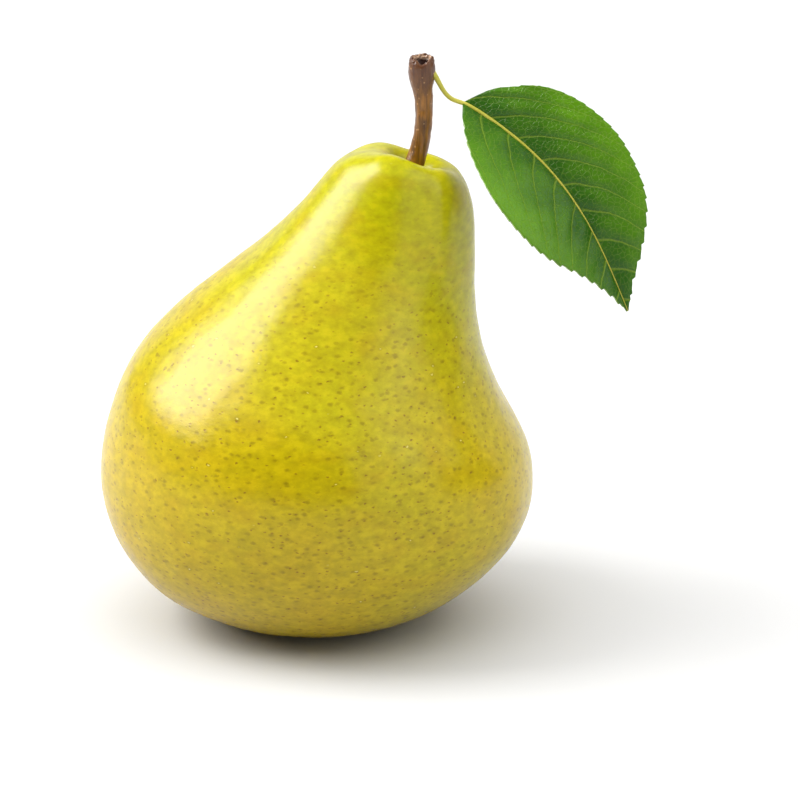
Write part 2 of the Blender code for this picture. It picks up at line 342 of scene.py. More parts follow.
# Greener upwards and towards +X, and in broad patches
green_share = -0.42
for source, weight in ((height, 0.55), (across, 0.25), (broad.outputs["Fac"], 0.8)):
    green_share = add_node(
        tree, "ShaderNodeMath", {"operation": "MULTIPLY_ADD"}, {0: source, 1: weight, 2: green_share}
    ).outputs[0]
ground = add_node(
    tree, "ShaderNodeMix", {"data_type": "RGBA"},
    {MIX: green_share, FIRST: colour("B99C00"), SECOND: colour("A6A800")},
).outputs[MIXED]

print("skin's ground colour:", len(tree.nodes), "nodes")

# %% Streaks and flecks in the ground colour
streaks = add_node(
    tree, "ShaderNodeTexNoise", {}, {"Vector": level, "Scale": per_metre(2.3), "Detail": 5.0, "Roughness": 0.66}
)
ochre = add_node(tree, "ShaderNodeTexNoise", {}, {"Vector": level, "Scale": per_metre(7), "Detail": 3.0})
# Noise, where in it the colour starts and where it is full, how strong it gets, and the colour:
# dark olive, ochre, then pale yellow
FLECKS = [(streaks, 0.42, 0.72, 0.55, "7E7200"), (ochre, 0.5, 0.72, 0.26, "AC8600")]
FLECKS += [(streaks, 0.45, 0.25, 0.45, "CAB20C")]
for noise, start, full, strength, hex_code in FLECKS:
    fleck_share = add_node(
        tree, "ShaderNodeMapRange", {},
        {"Value": noise.outputs["Fac"], "From Min": start, "From Max": full, "To Max": strength},
    ).outputs[0]
    ground = add_node(
        tree, "ShaderNodeMix", {"data_type": "RGBA"}, {MIX: fleck_share, FIRST: ground, SECOND: colour(hex_code)}
    ).outputs[MIXED]
print(len(FLECKS), "colours mixed into the ground")

# %% Where the pores crowd
crowding = add_node(
    tree, "ShaderNodeMapRange", {"interpolation_type": "SMOOTHSTEP"},
    {"Value": parts.outputs["Z"], "From Min": 0.45 * core_length, "From Max": 0.95 * core_length,
     "To Min": 1.0, "To Max": 0.3},
).outputs[0]
patches = add_node(tree, "ShaderNodeTexNoise", {}, {"Vector": place, "Scale": per_metre(9), "Detail": 2.0})
crowding = add_node(
    tree, "ShaderNodeMath", {"operation": "MULTIPLY"}, {0: crowding, 1: patches.outputs["Fac"]}
).outputs[0]
crowding = add_node(
    tree, "ShaderNodeMapRange", {}, {"Value": crowding, "From Min": 0.1, "From Max": 0.38}
).outputs[0]

# Places nudged by a fine noise, so that no pore is a true circle, and flattened a little
wobble = add_node(tree, "ShaderNodeTexNoise", {}, {"Vector": place, "Scale": per_metre(0.7), "Detail": 2.0})
nudged = add_node(
    tree, "ShaderNodeVectorMath", {"operation": "MULTIPLY_ADD"},
    {0: wobble.outputs["Color"], 1: (0.6 * MM,) * 3, 2: place},
).outputs[0]
nudged = add_node(tree, "ShaderNodeMapping", {}, {"Vector": nudged, "Scale": (0.72, 0.72, 1.35)}).outputs[0]
print("pores are", round(1 / 0.72, 2), "times as wide and", round(1 / 1.35, 2), "times as high as round ones")

# %% Three kinds of pore
# Name, spacing in mm, where the edge starts and ends as a share of it, colour, strength, and the
# share of places that have one. The third kind takes two layers: a dark ring, and the pore in it.
PORES = [("spots", 1.4, 0.1, 0.4, "746000", 0.6, 0.85)]
PORES += [("specks", 0.95, 0.08, 0.3, "704804", 0.78, 0.6)]
PORES += [("rings", 3.1, 0.08, 0.17, "857400", 0.5, 0.6)]
PORES += [("pale_pores", 3.1, 0.03, 0.075, "E8DC78", 0.7, 0.6)]
surface = ground
pore_masks = {}
for name, spacing_mm, edge_start, edge_end, hex_code, strength, share_of_places in PORES:
    cells = add_node(tree, "ShaderNodeTexVoronoi", {}, {"Vector": nudged, "Scale": per_metre(spacing_mm)})
    mask = add_node(
        tree, "ShaderNodeMapRange", {"interpolation_type": "SMOOTHSTEP"},
        {"Value": cells.outputs["Distance"], "From Min": edge_start, "From Max": edge_end,
         "To Min": 1.0, "To Max": 0.0},
    ).outputs[0]
    chance = add_node(tree, "ShaderNodeSeparateColor", {}, {0: cells.outputs["Color"]}).outputs[0]
    chosen = add_node(
        tree, "ShaderNodeMapRange", {},
        {"Value": chance, "From Min": 1 - share_of_places, "From Max": 1.3 - share_of_places, "To Max": strength},
    ).outputs[0]
    for factor in (chosen, crowding):
        mask = add_node(tree, "ShaderNodeMath", {"operation": "MULTIPLY"}, {0: mask, 1: factor}).outputs[0]
    surface = add_node(
        tree, "ShaderNodeMix", {"data_type": "RGBA"}, {MIX: mask, FIRST: surface, SECOND: colour(hex_code)}
    ).outputs[MIXED]
    pore_masks[name] = mask
print("layers of pores:", *pore_masks)

# %% Russet in the basin and the stem hollow
around_base = add_node(
    tree, "ShaderNodeVectorMath", {"operation": "DISTANCE"}, {0: place, 1: (base_x, 0, 0.09 * core_length)}
).outputs["Value"]
hollow = core_point(0.96)
around_stem = add_node(
    tree, "ShaderNodeVectorMath", {"operation": "DISTANCE"}, {0: place, 1: hollow}
).outputs["Value"]
# The middle's distance, how far the russet is full, how far it reaches, and its strength
for distance, near_mm, far_mm, strength in ((around_base, 5, 13, 0.8), (around_stem, 1.8, 4.6, 0.75)):
    ragged = add_node(
        tree, "ShaderNodeMath", {"operation": "MULTIPLY_ADD"},
        {0: streaks.outputs["Fac"], 1: -0.6 * far_mm * MM, 2: distance},
    ).outputs[0]
    russet = add_node(
        tree, "ShaderNodeMapRange", {"interpolation_type": "SMOOTHSTEP"},
        {"Value": ragged, "From Min": (near_mm - 0.3 * far_mm) * MM, "From Max": 0.7 * far_mm * MM,
         "To Min": strength, "To Max": 0.0},
    ).outputs[0]
    surface = add_node(
        tree, "ShaderNodeMix", {"data_type": "RGBA"}, {MIX: russet, FIRST: surface, SECOND: colour("84581A")}
    ).outputs[MIXED]
print("stem hollow's middle:", [round(value / MM, 1) for value in hollow], "mm")

# %% The skin's relief and gloss
height_map = streaks.outputs["Fac"]
for name, rise in (("specks", -0.35), ("pale_pores", 0.4)):
    height_map = add_node(
        tree, "ShaderNodeMath", {"operation": "MULTIPLY_ADD"}, {0: pore_masks[name], 1: rise, 2: height_map}
    ).outputs[0]
relief = add_node(tree, "ShaderNodeBump", {}, {"Strength": 0.3, "Distance": 0.25 * MM, "Height": height_map})
shader.inputs["Roughness"].default_value = 0.27
shader.inputs["IOR"].default_value = 1.4
shader.inputs["Specular IOR Level"].default_value = 0.36
shader.inputs["Subsurface Weight"].default_value = 0.08
shader.inputs["Subsurface Radius"].default_value = (1.0, 0.7, 0.05)
shader.inputs["Subsurface Scale"].default_value = 2 * MM
shader.inputs["Coat Weight"].default_value = 0.12
shader.inputs["Coat Roughness"].default_value = 0.14
tree.links.new(surface, shader.inputs["Base Color"])
tree.links.new(relief.outputs[0], shader.inputs["Normal"])
fruit.data.materials.append(skin)
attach(fruit, "root")
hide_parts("fruit")
print("skin:", len(tree.nodes), "nodes")

# %% [markdown]
# ## The stem
# A pear's stem is a young twig: woody, a little bent, thicker where it meets the fruit and
# swollen at the head, where it broke off the branch. The break leaves a torn rim and a hollow.
# A thick curve would be quicker, but it can't turn back into the broken head. So rings are
# extruded up the twig as on the fruit, over the head and down into the hollow. The first ones lie
# in the flesh, so that the stem grows out of the fruit.

# %% Draw the stem ring by ring
HEAD_RADIUS = 2.43 * MM
head_x = stem_high.x - HEAD_RADIUS
# How far below the top, how far aside of the head's middle, and the radius: all in millimetres
TWIG = [(24.9, -3.7, 2.1), (22.6, -2.7, 1.95), (19.9, -1.35, 1.8), (17.4, -0.5, 1.66), (14.6, 0.1, 1.6)]
TWIG += [(11.5, 0.4, 1.58), (8.6, 0.4, 1.6), (6.6, 0.2, 1.78), (5.0, 0.0, 2.12), (3.6, -0.05, 2.38)]
TWIG += [(2.2, 0.0, 2.44), (1.1, 0.0, 2.26)]
BREAK = [(0.4, 0.0, 2.06), (0.1, 0.0, 1.84), (0.25, 0.0, 1.62), (0.9, 0.0, 1.42), (1.8, 0.0, 1.2)]
BREAK += [(2.6, 0.0, 0.6)]


def stem_place(station):
    below, aside, _ = station
    return Vector((head_x + aside * MM, 0, stem_high.z - below * MM))


def stem_tilt(number):
    """How far the twig leans at a ring, from its two neighbours."""
    before = stem_place(TWIG[max(number - 1, 0)])
    after = stem_place(TWIG[min(number + 1, len(TWIG) - 1)])
    return math.atan2(after.x - before.x, after.z - before.z)


tilts = [stem_tilt(number) for number in range(len(TWIG))] + [0.0] * len(BREAK)
rings = [(stem_place(station), station[2], tilt) for station, tilt in zip(TWIG + BREAK, tilts)]
deselect_all()
bpy.ops.mesh.primitive_circle_add(
    vertices=20, radius=rings[0][1] * MM, location=rings[0][0], rotation=(0, rings[0][2], 0)
)
stem = bpy.context.object
bpy.ops.object.transform_apply(location=True, rotation=True)
extrude_rings(stem, "woody_stem", rings)

# %% Tear the rim
head = Vector((head_x, 0, stem_high.z))
# Angle, millimetres down, reach in millimetres
TEARS = [(-98, 1.35, 1.9), (-140, 0.35, 0.8), (-60, 0.3, 0.8), (75, -0.2, 0.9), (15, 0.35, 0.8)]
TEARS += [(150, 0.3, 0.7)]
for degrees, down, reach in TEARS:
    angle = math.radians(degrees)
    rim = head + Vector((math.cos(angle), math.sin(angle), 0)) * 1.7 * MM
    pull(stem, rim, Vector((0, 0, -down * MM)), reach * MM)
print(len(TEARS), "tears in the rim")

# %% Round the stem, splinter its head and knot its bark
smooth = stem.modifiers.new("round", "SUBSURF")
smooth.levels = smooth.render_levels = 3
torn = stem.vertex_groups.new(name="torn_head")
bark_group = stem.vertex_groups.new(name="bark")
for vertex in stem.data.vertices:
    near_top = ease((vertex.co.z - (stem_high.z - 2.2 * MM)) / (2.0 * MM))
    torn.add([vertex.index], near_top, "REPLACE")
    bark_group.add([vertex.index], 1.0 - 0.6 * near_top, "REPLACE")
make_uneven(stem, "splinters", 0.45, 0.55, "torn_head")
make_uneven(stem, "knots", 1.6, 0.3, "bark")
finish_modifiers(stem)
print("stem:", len(stem.data.polygons), "faces")

# %% [markdown]
# ### Stem bark
# Thin, smooth twig bark over hard wood: polished brown with lengthwise streaks, scattered pale
# pores, and greyer, mauve-brown skin on the swollen head. It gives the eye a narrow shine down one
# side. Where it broke, the wood inside is pale tan and fibrous, with painted shade that darkens it
# towards the bottom of the hollow.

# %% Bark colours
bark, tree, shader = new_material("twig_bark_and_broken_wood_painted_hollow_shade")
place = add_node(tree, "ShaderNodeTexCoord", {}, {}).outputs["Object"]
centred = add_node(
    tree, "ShaderNodeMapping", {}, {"Vector": place, "Location": (-head_x, 0.0, -stem_high.z)}
).outputs[0]
lengthwise = add_node(tree, "ShaderNodeMapping", {}, {"Vector": centred, "Scale": (1.0, 1.0, 0.14)}).outputs[0]
streaks = add_node(
    tree, "ShaderNodeTexNoise", {},
    {"Vector": lengthwise, "Scale": per_metre(0.7), "Detail": 5.0, "Roughness": 0.65},
)
streak_share = add_node(
    tree, "ShaderNodeMapRange", {}, {"Value": streaks.outputs["Fac"], "From Min": 0.32, "From Max": 0.7}
).outputs[0]
brown = add_node(
    tree, "ShaderNodeMix", {"data_type": "RGBA"},
    {MIX: streak_share, FIRST: colour("3E2402"), SECOND: colour("98641C")},
).outputs[MIXED]
axes = add_node(tree, "ShaderNodeSeparateXYZ", {}, {0: centred})
towards_head = add_node(
    tree, "ShaderNodeMapRange", {"interpolation_type": "SMOOTHSTEP"},
    {"Value": axes.outputs["Z"], "From Min": -9 * MM, "From Max": -2.5 * MM},
).outputs[0]
mauve_share = add_node(tree, "ShaderNodeMath", {"operation": "MULTIPLY"}, {0: towards_head, 1: 0.75}).outputs[0]
brown = add_node(
    tree, "ShaderNodeMix", {"data_type": "RGBA"},
    {MIX: mauve_share, FIRST: brown, SECOND: colour("4A2A20")},
).outputs[MIXED]
pores = add_node(tree, "ShaderNodeTexVoronoi", {}, {"Vector": centred, "Scale": per_metre(1.1)})
pore_share = add_node(
    tree, "ShaderNodeMapRange", {"interpolation_type": "SMOOTHSTEP"},
    {"Value": pores.outputs["Distance"], "From Min": 0.1, "From Max": 0.22, "To Min": 0.6, "To Max": 0.0},
).outputs[0]
brown = add_node(
    tree, "ShaderNodeMix", {"data_type": "RGBA"},
    {MIX: pore_share, FIRST: brown, SECOND: colour("B98A54")},
).outputs[MIXED]

print("bark:", len(tree.nodes), "nodes")

# %% The broken wood: inside the rim, with a ragged edge, and painted shade darkening the bottom of the hollow
flat = add_node(tree, "ShaderNodeCombineXYZ", {}, {"X": axes.outputs["X"], "Y": axes.outputs["Y"]})
from_axis = add_node(
    tree, "ShaderNodeVectorMath", {"operation": "LENGTH"}, {0: flat.outputs[0]}
).outputs["Value"]
ragged = add_node(tree, "ShaderNodeTexNoise", {}, {"Vector": centred, "Scale": per_metre(0.5), "Detail": 3.0})
from_axis = add_node(
    tree, "ShaderNodeMath", {"operation": "MULTIPLY_ADD"}, {0: ragged.outputs["Fac"], 1: 0.7 * MM, 2: from_axis}
).outputs[0]
inside = add_node(
    tree, "ShaderNodeMapRange", {"interpolation_type": "SMOOTHSTEP"},
    {"Value": from_axis, "From Min": 1.9 * MM, "From Max": 2.15 * MM, "To Min": 1.0, "To Max": 0.0},
).outputs[0]
on_top = add_node(
    tree, "ShaderNodeMapRange", {}, {"Value": axes.outputs["Z"], "From Min": -3.0 * MM, "From Max": -2.8 * MM}
).outputs[0]
inside = add_node(tree, "ShaderNodeMath", {"operation": "MULTIPLY"}, {0: inside, 1: on_top}).outputs[0]
# Painted shade: a fade from near-black wood at the bottom of the hollow up to the tan fibres near the rim
painted_hollow_shade_fade = add_node(
    tree, "ShaderNodeMapRange", {"interpolation_type": "SMOOTHSTEP"},
    {"Value": axes.outputs["Z"], "From Min": -1.3 * MM, "From Max": -0.2 * MM},
).outputs[0]
fibres = add_node(
    tree, "ShaderNodeTexNoise", {},
    {"Vector": centred, "Scale": per_metre(0.35), "Detail": 3.0, "Distortion": 1.0},
)
tan = add_node(
    tree, "ShaderNodeMix", {"data_type": "RGBA"},
    {MIX: fibres.outputs["Fac"], FIRST: colour("8A5A3C"), SECOND: colour("E6C3A0")},
).outputs[MIXED]
# Painted shade: the wood is mixed towards near black deeper in the hollow, where little light reaches
wood = add_node(
    tree, "ShaderNodeMix", {"data_type": "RGBA"}, {MIX: painted_hollow_shade_fade, FIRST: colour("2A120A"), SECOND: tan}
).outputs[MIXED]
surface = add_node(
    tree, "ShaderNodeMix", {"data_type": "RGBA"}, {MIX: inside, FIRST: brown, SECOND: wood}
).outputs[MIXED]
relief = add_node(
    tree, "ShaderNodeBump", {}, {"Strength": 0.35, "Distance": 0.2 * MM, "Height": streaks.outputs["Fac"]}
)
shader.inputs["Roughness"].default_value = 0.3
tree.links.new(surface, shader.inputs["Base Color"])
tree.links.new(relief.outputs[0], shader.inputs["Normal"])
stem.data.materials.append(bark)
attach(stem, "root")
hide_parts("stem")
print("bark and wood:", len(tree.nodes), "nodes")

# %% [markdown]
# ## The leaf
# A pear leaf is a broad oval with a drawn-out tip and fine forward teeth. It is folded along its
# midrib, so its two halves catch the light differently. It could be a flat card with a drawn
# outline, but real teeth and a real fold hold up from every side. A flat grid is resized row by
# row to the outline, its flat places are stored as pattern coordinates, and then it is folded and
# bent.

# %% The leaf's place and sizes
# The blade's two ends, from the corners of the whole leaf's box
blade_base = Vector((leaf_low.x + 4.86 * MM, leaf_high.y - 2.1 * MM, leaf_high.z - 5.2 * MM))
blade_tip = Vector((leaf_high.x - 2.92 * MM, blade_base.y - 9.5 * MM, leaf_low.z + 0.3 * MM))
blade_length = (blade_tip - blade_base).length
ROWS = 96
COLUMNS = 28
row_step = blade_length / ROWS
MIDRIB_BOW = 4.6 * MM  # how far the midrib curves to one side
MIDRIB_RISE = 1.6 * MM  # how far it curves towards the upper face
NEAR_FOLD = math.radians(35)
FAR_FOLD = math.radians(9)
# Share of the length, then the width in mm of the far half and of the near half
OUTLINE = [(0, 0.3, 0.3), (0.02, 4.0, 1.8), (0.05, 6.5, 3.8), (0.12, 10.0, 7.4), (0.22, 12.0, 10.9)]
OUTLINE += [(0.34, 12.9, 13.4), (0.46, 13.1, 14.1), (0.58, 12.5, 13.1), (0.68, 11.6, 10.6), (0.76, 9.8, 7.3)]
OUTLINE += [(0.85, 6.3, 4.0), (0.92, 2.8, 1.8), (0.97, 1.1, 0.7), (1, 0.15, 0.15)]
FAR, NEAR = 1, -1  # the signs of y on the two halves
print(f"blade {blade_length / MM:.1f} mm long")


def half_width(share, half):
    """One half's width at a share of the blade's length, on a smooth curve through the outline."""
    share = min(max(share, 0.0), 1.0)
    column = 1 if half == FAR else 2
    last = len(OUTLINE) - 1
    index = max(number for number in range(last) if OUTLINE[number][0] <= share)
    near_points = [OUTLINE[min(max(number, 0), last)] for number in range(index - 1, index + 3)]
    (x0, y0), (x1, y1), (x2, y2), (x3, y3) = [(point[0], point[column]) for point in near_points]
    part = (share - x1) / (x2 - x1)
    leave = (y2 - y0) / (x2 - x0) * (x2 - x1)
    arrive = (y3 - y1) / (x3 - x1) * (x2 - x1)
    square = 3 * (y2 - y1) - 2 * leave - arrive
    cube = 2 * (y1 - y2) + leave + arrive
    return (y1 + leave * part + square * part**2 + cube * part**3) * MM


# %% Cut the flat blade
deselect_all()
bpy.ops.mesh.primitive_grid_add(x_subdivisions=ROWS, y_subdivisions=COLUMNS, size=2)
blade = bpy.context.object
blade.name = "pear_leaf"
blade.scale = (blade_length / 2, 1, 1)
blade.location = (blade_length / 2, 0, 0)
bpy.ops.object.transform_apply(location=True, scale=True)
for row in range(ROWS + 1):
    for half in (FAR, NEAR):
        edit_points(blade, lambda co: round(co.x / row_step) == row and co.y * half > 0)
        width = half_width(row / ROWS, half)
        bpy.ops.transform.resize(value=(1, width, 1), center_override=(row * row_step, 0, 0))
bpy.ops.object.mode_set(mode="OBJECT")
print("blade:", len(blade.data.vertices), "points for", (ROWS + 1) * (COLUMNS + 1))

# %% Cut the teeth
TOOTH_ROWS = 4
TOOTH_HEIGHT = 0.2 * MM
TOOTH_HOOK = 0.5 * MM  # how far each tooth's point is drawn towards the tip
heights = {}
for vertex in blade.data.vertices:
    row = round(vertex.co.x / row_step)
    half = FAR if vertex.co.y > 0 else NEAR
    if abs(vertex.co.y) > 0.999 * half_width(row / ROWS, half) and 4 < row < ROWS - 2:
        heights[vertex.index] = row % TOOTH_ROWS / (TOOTH_ROWS - 1)
rims = {index: blade.data.vertices[index].co.copy() for index in heights}
for height in sorted(set(heights.values()) - {0.0}):
    for half in (FAR, NEAR):
        chosen = [index for index in heights if heights[index] == height and rims[index].y * half > 0]
        spots = {rims[index].to_tuple(7) for index in chosen}
        edit_points(blade, lambda co: co.to_tuple(7) in spots)
        bpy.ops.transform.translate(value=(TOOTH_HOOK * height, TOOTH_HEIGHT * half * height, 0))
bpy.ops.object.mode_set(mode="OBJECT")
print(len(rims) // TOOTH_ROWS, "teeth")

# %% [markdown]
# ### The leaf's own coordinates
# The veins have to follow the blade when it bends. So the flat blade's places are kept as UVs:
# U runs from the base to the tip and V across, one unit for 50 mm, with the midrib at V 0.5.
# The same sums place the veins here, for the relief, and in the material, for the colour.

# %% Store the flat places as UVs
UV_SPAN = 50 * MM
flat_map = blade.data.uv_layers.new(name="flat_blade")
for loop in blade.data.loops:
    flat = blade.data.vertices[loop.vertex_index].co
    flat_map.data[loop.index].uv = (flat.x / UV_SPAN, 0.5 + flat.y / UV_SPAN)
print("stored", len(flat_map.data), "flat places")

# %% Where the side veins run
VEIN_GAP = 5.7  # mm between side veins along the midrib
VEIN_SLANT = 0.5  # how far towards the tip a vein moves for each mm across
VEIN_CURVE = 0.075  # how much more it turns that way further out
VEIN_OFFSET = 1.7  # mm by which one half's veins start before the other's
puffed = blade.vertex_groups.new(name="between_veins")
for vertex in blade.data.vertices:
    along, across = vertex.co.x / MM, vertex.co.y / MM
    start = along - VEIN_SLANT * abs(across) - VEIN_CURVE * across**2 + (VEIN_OFFSET if across < 0 else 0)
    from_vein = abs(start / VEIN_GAP - round(start / VEIN_GAP)) * 2
    half = FAR if across > 0 else NEAR
    from_rim = 1 - abs(across) / max(half_width(vertex.co.x / blade_length, half) / MM, 0.3)
    weight = math.sin(from_vein * math.pi / 2) * ease(from_rim * 4) * ease(abs(across))
    puffed.add([vertex.index], max(weight, 0.0), "REPLACE")
print("side veins:", round(blade_length / MM / VEIN_GAP), "on each half")

# %% Fold and bend the blade
for half, fold in ((NEAR, NEAR_FOLD), (FAR, FAR_FOLD)):
    edit_points(blade, lambda co: co.y * half > 0.001 * MM)
    bpy.ops.transform.rotate(value=-half * fold, orient_axis="X", center_override=(0, 0, 0))


def midrib_bend(share):
    """How far the midrib is from the straight line between the blade's two ends."""
    return Vector((0, MIDRIB_BOW * math.sin(math.pi * share**0.92), MIDRIB_RISE * math.sin(math.pi * share)))


for row in range(ROWS + 1):
    edit_points(blade, lambda co: round(co.x / row_step) == row)
    bpy.ops.transform.translate(value=midrib_bend(row / ROWS))
bpy.ops.object.mode_set(mode="OBJECT")
print("folded by", round(math.degrees(NEAR_FOLD)), "and", round(math.degrees(FAR_FOLD)), "degrees")

# %% Hang the blade in its place
along = (blade_tip - blade_base).normalized()
sideways = Vector((0, -1, 0.3)).cross(along).normalized()
upper = along.cross(sideways)
hang = Matrix((along, sideways, upper)).transposed().to_4x4()
hang.translation = blade_base
blade.matrix_world = hang
deselect_all()
blade.select_set(True)
bpy.context.view_layer.objects.active = blade
bpy.ops.object.transform_apply(location=True, rotation=True)
print("tip at", [round(value / MM, 1) for value in blade_tip], "mm")

# %% Give the blade its relief and thickness
relief = blade.modifiers.new("veins_sunk", "DISPLACE")
relief.strength = 0.22 * MM
relief.mid_level = 0
relief.vertex_group = "between_veins"
make_uneven(blade, "waves", 9, 1.1, "between_veins")
sheet = blade.modifiers.new("thickness", "SOLIDIFY")
sheet.thickness = 0.3 * MM
sheet.offset = -1
sheet.material_offset = 1
sheet.material_offset_rim = 1
smooth = blade.modifiers.new("finer", "SUBSURF")
smooth.subdivision_type = "SIMPLE"
smooth.levels = smooth.render_levels = 1
print("still to be applied:", *[modifier.name for modifier in blade.modifiers])

# %% [markdown]
# ### The leaf stalk and midrib
# The stalk leaves the side of the stem's head and runs on down the blade as its midrib, which
# thins to a hair at the tip. It could be extruded like the stem, but a curve with a round bevel is
# simpler, because each point carries its own thickness. It becomes a mesh before it is finished.

# %% A helper for thin round strands
def strand(name, stations, sides):
    """A round strand through (place, radius) stations, as a closed mesh."""
    deselect_all()
    bpy.ops.curve.primitive_nurbs_path_add()
    line = bpy.context.object
    line.name = name
    line.data.splines.clear()
    spline = line.data.splines.new("NURBS")
    spline.points.add(len(stations) - 1)
    for point, (spot, radius) in zip(spline.points, stations):
        point.co = (*spot, 1)
        point.radius = radius / MM
    spline.order_u = 4
    spline.use_endpoint_u = True
    spline.resolution_u = 4
    line.data.bevel_depth = MM
    line.data.bevel_resolution = sides
    line.data.use_fill_caps = True
    bpy.ops.object.convert(target="MESH")
    bpy.ops.object.mode_set(mode="EDIT")
    bpy.ops.mesh.select_all(action="SELECT")
    bpy.ops.mesh.remove_doubles(threshold=1e-6)
    bpy.ops.mesh.normals_make_consistent(inside=False)
    bpy.ops.object.mode_set(mode="OBJECT")
    bpy.ops.object.shade_smooth()
    return bpy.context.object


# %% Draw the stalk and the midrib
knob = Vector((head_x, 0, stem_high.z - 2.6 * MM))
# Millimetres from the knob, then the radius
STALK = [((1.2, -0.1, 0.4), 0.7), ((2.5, -0.2, -1.2), 0.48), ((3.4, -0.5, -3.3), 0.42)]
STALK += [((5.1, -1.0, -5.4), 0.41)]
stalk = [(knob + Vector(spot) * MM, radius * MM) for spot, radius in STALK]
rib = []
for number in range(13):
    share = number / 12
    spot = hang @ (Vector((share * blade_length, 0, 0.12 * MM)) + midrib_bend(share))
    rib.append((spot, (0.4 - 0.33 * share**0.6) * MM))
stalk_piece = strand("leaf_stalk", stalk + rib, 4)
print("stalk:", len(stalk_piece.data.polygons), "faces")
